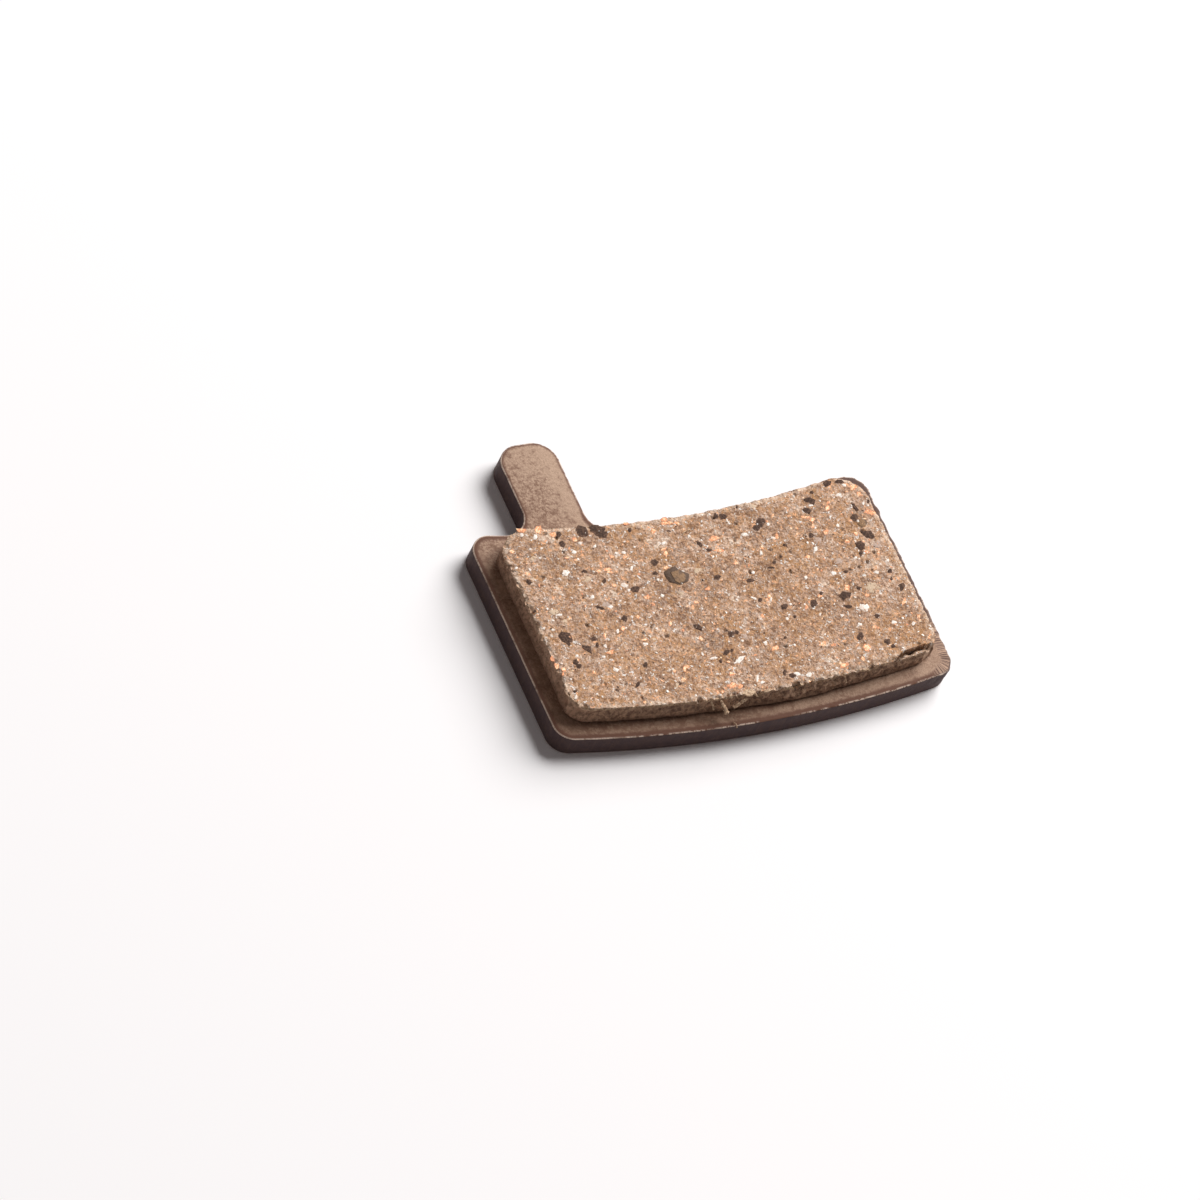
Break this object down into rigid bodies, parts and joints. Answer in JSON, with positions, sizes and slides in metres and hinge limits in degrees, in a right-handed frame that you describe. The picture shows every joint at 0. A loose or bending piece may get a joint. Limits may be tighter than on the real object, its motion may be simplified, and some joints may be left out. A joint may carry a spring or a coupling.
{
  "type": "bicycle disc brake pad",
  "caption": "Stamped steel backing plate with an off-centre tab, carrying a moulded friction block with concentric curved edges that presses on a disc brake rotor.",
  "frame": {"origin": "on the plate's flat back, under the middle of the whole pad with its tab", "axes": "+Z out of the friction face, +Y from the outer edge towards the tab and the rotor's axis, +X along the pad's width, so that the tab is on the -X side"},
  "size_m": [0.036, 0.0288, 0.0037],
  "materials": {
    "coated_steel": "worn brown-black coat on stamped steel, satin where it is rubbed",
    "friction_compound": "matte tan-brown resin-bonded compound with copper flakes and dark mineral grains"
  },
  "bodies": {
    "root": {"backing_plate": "coated_steel", "friction_pad": "friction_compound"}
  },
  "joints": []
}
